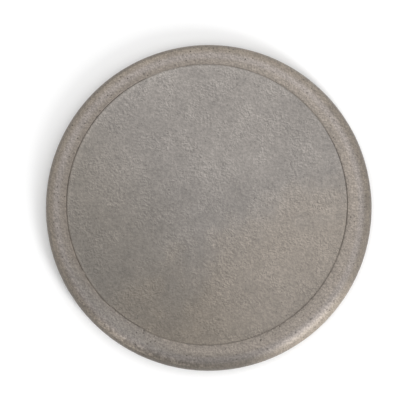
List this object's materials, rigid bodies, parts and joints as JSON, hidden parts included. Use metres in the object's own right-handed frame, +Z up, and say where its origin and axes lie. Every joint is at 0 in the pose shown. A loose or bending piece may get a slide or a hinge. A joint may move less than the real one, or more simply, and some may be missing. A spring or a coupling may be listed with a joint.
{
  "type": "paten plate",
  "caption": "Shallow round pewter plate: a hammered disc let into a broad, rounded cast rim with a visible seam, on a low turned foot ring.",
  "frame": {"origin": "on the surface that the plate stands on, under the centre of the rim's outline", "axes": "+Z up out of the well, +X and +Y across the plate, with the rim's short closing piece towards -X and -Y"},
  "size_m": [0.16, 0.16, 0.012],
  "materials": {
    "well_pewter": "hammered and etched, dull grey-taupe patina",
    "rim_pewter": "as cast and rubbed smooth, fine pinholes, warm taupe patina",
    "foot_pewter": "turned, dull grey, rubbed brighter where it stands",
    "solder": "dull, darkened by dirt"
  },
  "bodies": {
    "root": {"well_disc": "well_pewter", "rim_ring": "rim_pewter", "rim_closing_piece": "rim_pewter", "rim_joint_braze": "solder", "seam_solder": "solder", "foot_ring": "foot_pewter", "foot_solder": "solder"}
  },
  "joints": []
}
